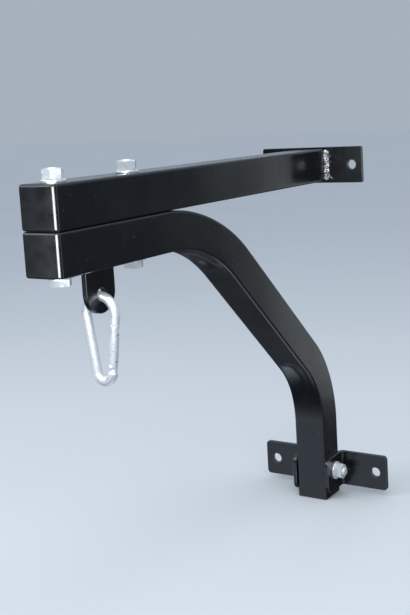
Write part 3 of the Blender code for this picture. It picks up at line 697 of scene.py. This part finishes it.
def make_foot(node, side):
    """An ear beside the strut, a tight bend, and a flange on the wall."""
    low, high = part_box(node)
    inner, tip = sorted((abs(low.x), abs(high.x)))
    middle_z = (low.z + high.z) / 2
    turn_x = inner + PLATE_THICKNESS + FOOT_BEND_RADIUS
    turn_y = high.y - PLATE_THICKNESS - FOOT_BEND_RADIUS
    radius = FOOT_BEND_RADIUS + PLATE_THICKNESS / 2
    ear = turn_y - low.y
    bend = radius * math.pi / 2

    def at(distance):
        if distance < ear:
            return Vector((side * (turn_x - radius), low.y + distance, middle_z)), X_AXIS * -side
        if distance > ear + bend:
            return Vector((side * (turn_x + distance - ear - bend), turn_y + radius, middle_z)), Y_AXIS
        angle = (distance - ear) / radius
        across = Vector((-side * math.cos(angle), math.sin(angle), 0))
        return Vector((side * turn_x, turn_y, middle_z)) + across * radius, across

    length = ear + bend + tip - turn_x
    between = [ear + bend * step / FOOT_BEND_STEPS for step in range(FOOT_BEND_STEPS + 1)]
    corners = (EAR_CORNER, FOOT_TIP_CORNER)
    foot = flat_bar(node, length, high.z - low.z, PLATE_THICKNESS, corners, Z_AXIS, at, between)
    pivot = centre_of("pivot_bolt")
    ear_centre = Vector((side * (inner + PLATE_THICKNESS / 2), pivot.y, pivot.z))
    flange_centre = Vector((side * FOOT_HOLE_X, high.y - PLATE_THICKNESS / 2, middle_z))
    cut(foot, through_hole(ear_centre, X_AXIS, BOLT_HOLE_RADIUS),
        through_hole(flange_centre, Y_AXIS, FOOT_HOLE_RADIUS))
    stand_in(foot, node)


def make_eye():
    """A flat bar on edge under the strut, its lower end a half circle round the hook's hole."""
    node = "hanging_eye"
    low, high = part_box(node)
    middle = (low + high) / 2
    width = high.y - low.y

    def at(distance):
        return Vector((middle.x, middle.y, low.z + distance)), X_AXIS

    eye = flat_bar(node, high.z - low.z, width, EYE_THICKNESS, (width / 2, 0), Y_AXIS, at)
    hole_centre = Vector((middle.x, middle.y, high.z + GAP - EYE_HOLE_DROP))
    cut(eye, through_hole(hole_centre, X_AXIS, EYE_HOLE_RADIUS))
    stand_in(eye, node)


def make_cap(node):
    """A moulded cap: a flange with well rounded edges over the tube's end and a hollow plug inside it."""
    low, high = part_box(node)
    width = high.x - low.x
    sections = []
    for step in range(CAP_ROUND_STEPS + 1):
        angle = math.pi / 2 * (1 - step / CAP_ROUND_STEPS)
        inset = CAP_ROUND * (1 - math.cos(angle))
        corner = max(TUBE_CORNER - inset, CAP_LEAST_CORNER)
        sections.append((width - 2 * inset, corner, CAP_ROUND * (1 - math.sin(angle))))
    sections.append((width, TUBE_CORNER, CAP_FLANGE))
    plug = width - 2 * TUBE_WALL - 2 * GAP
    plug_end = high.y - low.y
    for size, depth in ((plug, CAP_FLANGE), (plug, plug_end), (plug - 2 * CAP_PLUG_WALL, plug_end),
                        (plug - 2 * CAP_PLUG_WALL, CAP_FLANGE)):
        sections.append((size, TUBE_CORNER_INSIDE, depth))
    front = Vector((0, low.y, (low.z + high.z) / 2))
    rings = []
    for size, corner, depth in sections:
        rings.append(place_ring(tube_outline(size, size, corner), front + Y_AXIS * depth, X_AXIS, Z_AXIS))
    stand_in(new_object(node, loft(rings)), node)


# ---------------------------------------------------------------- fasteners
def hexagon_radius(angle):
    """Distance from the axis to the hexagon's side in this direction."""
    from_flat = (angle % math.radians(60)) - math.radians(30)
    return HEX_ACROSS_FLATS / 2 / math.cos(from_flat)


def hex_ring(z, chamfer):
    """The hexagon's edge at z; chamfer is the way its corners are cut back along z: 1, -1 or 0."""
    ring = []
    for i in range(HEX_STEPS):
        angle = 2 * math.pi * i / HEX_STEPS
        radius = hexagon_radius(angle)
        drop = max(0.0, radius - HEX_FACE_RADIUS) * HEX_CHAMFER_SLOPE
        ring.append(Vector((radius * math.cos(angle), radius * math.sin(angle), z + chamfer * drop)))
    return ring


def flat_ring(radius, z, sides=HEX_STEPS):
    """A level circle round the fastener's own axis."""
    return place_ring(circle(radius, sides), Z_AXIS * z, X_AXIS, Y_AXIS)


def fastener_pose(node, along):
    """Matrix that puts local Z along the fastener's axis, from its low end, and its length.

    The length is negative for a fastener that points down.
    """
    low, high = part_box(node)
    origin = (low + high) / 2
    length = (high - low).dot(along)
    turn = Z_AXIS.rotation_difference(along).to_matrix().to_4x4()
    return Matrix.Translation(origin - along * length / 2) @ turn, length


def show_fastener(node, rings, pose, closed):
    """Skin a fastener's rings, move it from its own axis to its place and show it."""
    bm = loft(rings, closed)
    bmesh.ops.transform(bm, matrix=pose, verts=bm.verts)
    stand_in(new_object(node, bm), node)


def make_bolt(node, along):
    """A hex head bolt whose thread runs down from its end."""
    pose, length = fastener_pose(node, along)
    thread_start = length - THREAD_TURNS * THREAD_PITCH
    rings = [flat_ring(HEX_FACE_RADIUS, 0.0), hex_ring(0.0, 1), hex_ring(BOLT_HEAD_HEIGHT, 0),
             flat_ring(BOLT_RADIUS, BOLT_HEAD_HEIGHT), flat_ring(BOLT_RADIUS, thread_start)]
    count = THREAD_TURNS * THREAD_STEPS_PER_PITCH
    for step in range(1, count + 1):
        z = thread_start + THREAD_TURNS * THREAD_PITCH * step / count
        limit = BOLT_RADIUS - max(0.0, z - (length - BOLT_END_CHAMFER))
        ring = []
        for i in range(HEX_STEPS):
            turn = i / HEX_STEPS
            phase = (z / THREAD_PITCH - turn) % 1.0
            radius = min(limit, BOLT_RADIUS - THREAD_DEPTH * (1 - abs(2 * phase - 1)))
            angle = 2 * math.pi * turn
            ring.append(Vector((radius * math.cos(angle), radius * math.sin(angle), z)))
        rings.append(ring)
    show_fastener(node, rings, pose, closed=False)


def make_nut(node, along):
    """A hex nut with chamfered corners and a bore that widens at both mouths."""
    pose, height = fastener_pose(node, along)
    mouth = NUT_MOUTH_RADIUS - NUT_BORE_RADIUS
    rings = [flat_ring(NUT_MOUTH_RADIUS, 0.0), flat_ring(HEX_FACE_RADIUS, 0.0), hex_ring(0.0, 1),
             hex_ring(height, -1), flat_ring(HEX_FACE_RADIUS, height), flat_ring(NUT_MOUTH_RADIUS, height),
             flat_ring(NUT_BORE_RADIUS, height - mouth), flat_ring(NUT_BORE_RADIUS, mouth)]
    show_fastener(node, rings, pose, closed=True)


def make_washer(node, along):
    """A punched washer: its upper outer edge is drawn round and its lower one is nearly sharp.

    Known fault: on the head washers, which point down, both rims stand proud of the faces instead.
    """
    pose, height = fastener_pose(node, along)
    low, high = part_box(node)
    radius = max(high - low) / 2
    burr = WASHER_EDGE / 4
    rings = [flat_ring(WASHER_BORE_RADIUS, 0.0, WASHER_SIDES),
             flat_ring(radius - burr, 0.0, WASHER_SIDES),
             flat_ring(radius, burr, WASHER_SIDES)]
    for degrees in WASHER_EDGE_DEGREES:
        angle = math.radians(degrees)
        edge = radius - WASHER_EDGE * (1 - math.cos(angle))
        rings.append(flat_ring(edge, height - WASHER_EDGE * (1 - math.sin(angle)), WASHER_SIDES))
    rings.append(flat_ring(WASHER_BORE_RADIUS + WASHER_EDGE / 2, height, WASHER_SIDES))
    rings.append(flat_ring(WASHER_BORE_RADIUS, height - WASHER_EDGE / 2, WASHER_SIDES))
    show_fastener(node, rings, pose, closed=True)


def make_fasteners():
    """The two clamp bolts, upright, and the pivot bolt, level, each with its washers and nut."""
    for label in ("front", "rear"):
        make_bolt(label + "_bolt", Z_AXIS)
        make_washer(label + "_head_washer", -Z_AXIS)
        make_washer(label + "_nut_washer", Z_AXIS)
        make_nut(label + "_nut", Z_AXIS)
    make_bolt("pivot_bolt", X_AXIS)
    make_washer("pivot_nut_washer", X_AXIS)
    make_nut("pivot_nut", X_AXIS)


# ---------------------------------------------------------------- welds
def bead_radius(point, distance, size):
    """Size of a hand-laid bead here: overlapping frozen ripples with a random lumpiness."""
    ripple = BEAD_RIPPLE * abs(math.sin(math.pi * distance / BEAD_RIPPLE_LENGTH))
    lumps = sum(share * noise.noise(point * scale) for share, scale in BEAD_LUMPS)
    return size * (BEAD_BASE + ripple + lumps)


def make_side_weld(node, sign):
    """A fillet bead down the corner between one side of the beam and the plate, with its spatter."""
    low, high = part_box(node)
    corner = Vector((low.x if sign > 0 else high.x, high.y, 0))
    rings = []
    for step in range(BEAD_STEPS + 1):
        part = step / BEAD_STEPS
        z = low.z + (high.z - low.z) * part
        taper = min(1.0, BEAD_END_SHARE + BEAD_END_GROWTH * min(part, 1 - part))
        root = corner + Z_AXIS * z
        ring = [root]
        for side in range(BEAD_SIDES + 1):
            angle = math.pi / 2 * side / BEAD_SIDES
            out = Vector((sign * math.cos(angle), -math.sin(angle), 0))
            radius = bead_radius(root + out * BEAD_SIZE, z - low.z, BEAD_SIZE)
            ring.append(root + out * radius * taper)
        rings.append(ring)
    bead = loft(rings)
    for out, up, radius in SPATTER:
        centre = corner + X_AXIS * sign * out + Z_AXIS * (low.z + up) - Y_AXIS * radius
        bmesh.ops.create_icosphere(bead, subdivisions=SPATTER_SUBDIVISIONS, radius=radius,
                                   matrix=Matrix.Translation(centre))
    stand_in(new_object(node, bead), node)


def make_eye_weld():
    """A fillet bead that runs right round the top of the eye."""
    low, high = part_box("hanging_eye")
    centre = (low + high) / 2
    half_x, half_y = (high.x - low.x) / 2 + GAP, (high.y - low.y) / 2 + GAP
    perimeter = 4 * (half_x + half_y)
    # The four sides as (start x, start y, way along x, way along y, length).
    legs = ((half_x, -half_y, 0, 1, 2 * half_y), (half_x, half_y, -1, 0, 2 * half_x),
            (-half_x, half_y, 0, -1, 2 * half_y), (-half_x, -half_y, 1, 0, 2 * half_x))
    rings = []
    for step in range(EYE_BEAD_STEPS):
        distance = perimeter * step / EYE_BEAD_STEPS
        along = distance
        for start_x, start_y, step_x, step_y, length in legs:
            if along <= length:
                break
            along -= length
        corner = Vector((centre.x + start_x + step_x * along, centre.y + start_y + step_y * along, high.z))
        out = Vector((step_y, -step_x, 0))
        ring = [corner]
        for side in range(EYE_BEAD_SIDES + 1):
            angle = math.pi / 2 * side / EYE_BEAD_SIDES
            direction = out * math.cos(angle) - Z_AXIS * math.sin(angle)
            ring.append(corner + direction * bead_radius(corner + direction, distance, EYE_BEAD_SIZE))
        rings.append(ring)
    stand_in(new_object("eye_weld", loft(rings, closed=True)), "eye_weld")


# ---------------------------------------------------------------- snap hook
HOOK_ORIGIN = Vector(JOINTS["hook_swing"]["pos_m"])
GATE_PIVOT = Vector(JOINTS["gate_hinge"]["pos_m"])
LIMB_UP = Vector(JOINTS["plunger_slide"]["axis"]).normalized()
LIMB_SIDE = Y_AXIS.cross(LIMB_UP)
LIMB_AXES = (LIMB_SIDE, Y_AXIS, LIMB_UP)


def along_limb(distance):
    """The point this far up the hook's straight limb from the gate's pivot."""
    return GATE_PIVOT + LIMB_UP * distance


def limb_ring(outline, distance):
    """A section across the straight limb at this distance from the gate's pivot."""
    return place_ring(outline, along_limb(distance), LIMB_SIDE, Y_AXIS)


def rod_hole(at, radius):
    """A cutter for a hole across the rod."""
    across = Y_AXIS * HOOK_RADIUS * 2
    return cylinder_cutter(at - across, at + across, radius)


def hook_radii():
    """Radii of the wide and the narrow arc, and the height of the rod's centre line over both."""
    lean = math.asin(LIMB_UP.x)
    offset = GATE_PIVOT.x - HOOK_ORIGIN.x
    drop = HOOK_ORIGIN.z - GATE_PIVOT.z
    wide = (offset + drop * math.tan(lean)) / (1 / math.cos(lean) + math.tan(lean))
    low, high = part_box("hook_body")
    height = high.z - low.z - 2 * HOOK_RADIUS
    narrow = (wide * (1 + math.sin(lean)) - math.sin(lean) * height) / (1 - math.sin(lean))
    return wide, narrow, height


def hook_rings():
    """Sections of the hook's body, from the hinge tongue round both arcs to the nose tongue."""
    wide, narrow, height = hook_radii()
    rod = oval(HOOK_RADIUS, HOOK_RADIUS, ROUND_POWER)
    neck = oval(HOOK_RADIUS - SHOULDER_ROUND, HOOK_RADIUS - SHOULDER_ROUND, ROUND_POWER)
    tongue = oval(HOOK_RADIUS * TONGUE_SIDE_SHARE, TONGUE_HALF, TONGUE_POWER)
    rings = [limb_ring(tongue, HINGE_TONGUE_TOP),
             limb_ring(tongue, -HINGE_SHOULDER),
             limb_ring(neck, -HINGE_SHOULDER - GAP),
             limb_ring(rod, -HINGE_SHOULDER - GAP - SHOULDER_ROUND)]
    lean = math.degrees(math.asin(LIMB_UP.x))
    low_centre = HOOK_ORIGIN - Z_AXIS * (height - narrow)
    high_centre = HOOK_ORIGIN - Z_AXIS * wide
    arcs = ((low_centre, narrow, -lean, -180.0 + lean), (high_centre, wide, 180.0 + lean, -lean))
    for centre, radius, start, end in arcs:
        for step in range(HOOK_ARC_STEPS + 1):
            angle = math.radians(start + (end - start) * step / HOOK_ARC_STEPS)
            out = Vector((math.cos(angle), 0, math.sin(angle)))
            rings.append(place_ring(rod, centre + out * radius, out, Y_AXIS))
    shoulder = GATE_LENGTH + NOSE_GAP
    rings.append(limb_ring(rod, shoulder + GAP + SHOULDER_ROUND))
    rings.append(limb_ring(neck, shoulder + GAP))
    rings.append(limb_ring(tongue, shoulder))
    rings.append(limb_ring(tongue, shoulder - NOSE_TONGUE_LENGTH))
    return rings


def make_hook_body():
    """The bent rod, drilled for the rivet, its nose notched on the inside for the gate's cross pin."""
    body = new_object("hook_body", loft(hook_rings()))
    pin = along_limb(CROSS_PIN_AT)
    notch_half_sizes = (HOOK_RADIUS, HOOK_RADIUS * 2, CROSS_PIN_NOTCH_RADIUS)
    cut(body, rod_hole(GATE_PIVOT, RIVET_HOLE_RADIUS), rod_hole(pin, CROSS_PIN_NOTCH_RADIUS),
        box_cutter(pin - LIMB_SIDE * HOOK_RADIUS, notch_half_sizes, LIMB_AXES))
    stand_in(body, "hook_body")


def make_gate():
    """The spring gate: a rod with a ball end, slotted at both ends and bored for its spring."""
    sections = []
    for degrees in GATE_BALL_DEGREES:
        angle = math.radians(degrees)
        sections.append((HOOK_RADIUS * math.cos(angle), -HOOK_RADIUS * math.sin(angle)))
    sections.append((HOOK_RADIUS, GATE_LENGTH - GATE_CHAMFER))
    sections.append((HOOK_RADIUS - GATE_CHAMFER / 4, GATE_LENGTH - GATE_CHAMFER / 4))
    sections.append((HOOK_RADIUS - GATE_CHAMFER, GATE_LENGTH))
    rings = [limb_ring(oval(radius, radius, ROUND_POWER), distance) for radius, distance in sections]
    gate = new_object("gate", loft(rings))
    cut(gate, box_cutter(GATE_PIVOT, (HOOK_RADIUS * 2, GATE_SLOT_HALF, HINGE_SLOT_LENGTH), LIMB_AXES),
        box_cutter(along_limb(GATE_LENGTH), (HOOK_RADIUS * 2, GATE_SLOT_HALF, NOSE_SLOT_LENGTH), LIMB_AXES),
        cylinder_cutter(along_limb(HINGE_SLOT_LENGTH / 2), along_limb(GATE_BORE_END), GATE_BORE_RADIUS),
        rod_hole(GATE_PIVOT, RIVET_HOLE_RADIUS),
        rod_hole(along_limb(CROSS_PIN_AT), CROSS_PIN_HOLE_RADIUS))
    stand_in(gate, "gate")


def make_spring():
    """A coil between the plunger's head and the end of the gate's bore."""
    low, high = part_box("gate_spring")
    middle = (low + high) / 2
    half = (high - low).dot(LIMB_UP) / 2 - SPRING_RADIUS * abs(LIMB_UP.x) - SPRING_WIRE_RADIUS
    count = SPRING_TURNS * SPRING_STEPS_PER_TURN
    rings = []
    for step in range(count + 1):
        angle = 2 * math.pi * step / SPRING_STEPS_PER_TURN
        out = LIMB_SIDE * math.cos(angle) + Y_AXIS * math.sin(angle)
        centre = middle + out * SPRING_RADIUS + LIMB_UP * half * (2 * step / count - 1)
        rings.append(place_ring(circle(SPRING_WIRE_RADIUS, SPRING_WIRE_SIDES), centre, out, LIMB_UP))
    spring = new_object("gate_spring", loft(rings))
    stand_in(spring, "gate_spring")
    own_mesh(spring)


# ---------------------------------------------------------------- studio
def make_floor():
    """A pale floor that isn't mirrored in the object and blocks no light."""
    lowest = cad_bounds[0].z - FLOOR_DROP
    bpy.ops.mesh.primitive_plane_add(size=FLOOR_SIZE, location=(0, 0, lowest))
    floor = bpy.context.object
    floor.name = "studio_floor"
    floor.visible_glossy = False
    floor.visible_shadow = False
    shader = Shader("studio_floor")
    cloud = shader.noise(scale=1.5, detail=2.0)
    shader.colour(shader.mix(cloud, low=(0.60, 0.60, 0.60), high=(0.64, 0.64, 0.64)))
    shader.set(Roughness=0.9, Specular_IOR_Level=0.1)
    floor.data.materials.append(shader.material)


def glow_ramp(nodes, height, stops):
    """Brightness by the height of a direction, from (height, brightness) stops."""
    curve = nodes.add("ShaderNodeFloatCurve")
    points = curve.mapping.curves[0].points
    while len(points) < len(stops):
        points.new(0.5, 0.5)
    top = max(brightness for level, brightness in stops)
    for point, (level, brightness) in zip(points, stops):
        point.location = ((level + 1) / 2, brightness / top)
        point.handle_type = "VECTOR"
    curve.mapping.update()
    nodes.link(height, curve, "Value")
    return nodes.math("MULTIPLY", curve.outputs["Value"], top)


def make_world():
    """A pale backdrop to the camera, and for all other rays a glow that varies with direction."""
    world = bpy.data.worlds.new("studio")
    bpy.context.scene.world = world
    world.use_nodes = True
    nodes = NodeTree(world.node_tree)
    direction = nodes.add("ShaderNodeSeparateXYZ")
    nodes.link(nodes.add("ShaderNodeTexCoord").outputs["Generated"], direction, "Vector")
    height = nodes.add("ShaderNodeMapRange", From_Min=-1.0)
    nodes.link(direction.outputs["Z"], height, "Value")
    to_wall = nodes.add("ShaderNodeMapRange", From_Min=-GLOW_TURN, From_Max=GLOW_TURN)
    nodes.link(direction.outputs["Y"], to_wall, "Value")
    glow = nodes.add("ShaderNodeMix")
    nodes.link(to_wall.outputs["Result"], glow, "Factor")
    nodes.link(glow_ramp(nodes, height.outputs["Result"], ROOM_SIDE_GLOW), glow, "A")
    nodes.link(glow_ramp(nodes, height.outputs["Result"], WALL_SIDE_GLOW), glow, "B")
    surround = world.node_tree.nodes["Background"]
    surround.inputs["Color"].default_value = (*GLOW_COLOUR, 1.0)
    nodes.link(glow.outputs["Result"], surround, "Strength")
    backdrop = nodes.add("ShaderNodeBackground", Color=(*BACKDROP, 1.0))
    seen = nodes.add("ShaderNodeMixShader")
    nodes.link(nodes.add("ShaderNodeLightPath").outputs["Is Camera Ray"], seen, "Fac")
    nodes.link(surround.outputs["Background"], seen.inputs[1])
    nodes.link(backdrop.outputs["Background"], seen.inputs[2])
    nodes.link(seen.outputs["Shader"], world.node_tree.nodes["World Output"], "Surface")


def make_light(name, at, towards, size, power, diffuse):
    """A rectangular soft light that the camera doesn't see."""
    data = bpy.data.lights.new(name, "AREA")
    data.shape = "RECTANGLE"
    data.size, data.size_y = size
    data.energy = power
    data.color = LIGHT_COLOUR
    light = bpy.data.objects.new(name, data)
    light.location = at
    light.rotation_mode = "QUATERNION"
    light.rotation_quaternion = (Vector(towards) - Vector(at)).to_track_quat("-Z", "Y")
    light.visible_camera = False
    light.visible_diffuse = diffuse
    bpy.context.collection.objects.link(light)


def make_camera():
    """A camera at the photograph's viewing angle."""
    azimuth = math.radians(CAMERA_AZIMUTH)
    elevation = math.radians(CAMERA_ELEVATION)
    roll = math.radians(CAMERA_ROLL)
    back = Vector((math.sin(azimuth) * math.cos(elevation), -math.cos(azimuth) * math.cos(elevation),
                   math.sin(elevation)))
    right = Vector((math.cos(azimuth), math.sin(azimuth), 0))
    up = back.cross(right)
    side = right * math.cos(roll) + up * math.sin(roll)
    top = up * math.cos(roll) - right * math.sin(roll)
    data = bpy.data.cameras.new("camera")
    data.lens = CAMERA_LENS
    data.shift_x, data.shift_y = CAMERA_SHIFT
    camera = bpy.data.objects.new("camera", data)
    camera.matrix_world = Matrix.Translation(CAMERA_AT) @ Matrix((side, top, back)).transposed().to_4x4()
    bpy.context.collection.objects.link(camera)
    bpy.context.scene.camera = camera
    bpy.context.scene.view_settings.view_transform = "Standard"


dress_cad_nodes()
make_beam()
make_strut()
make_upper_plate()
make_foot("left_foot", -1)
make_foot("right_foot", 1)
make_eye()
make_cap("upper_end_cap")
make_cap("lower_end_cap")
make_fasteners()
make_side_weld("plate_weld_left", -1)
make_side_weld("plate_weld_right", 1)
make_eye_weld()
make_hook_body()
make_gate()
make_spring()
make_floor()
make_world()
for light in LIGHTS:
    make_light(*light)
make_camera()
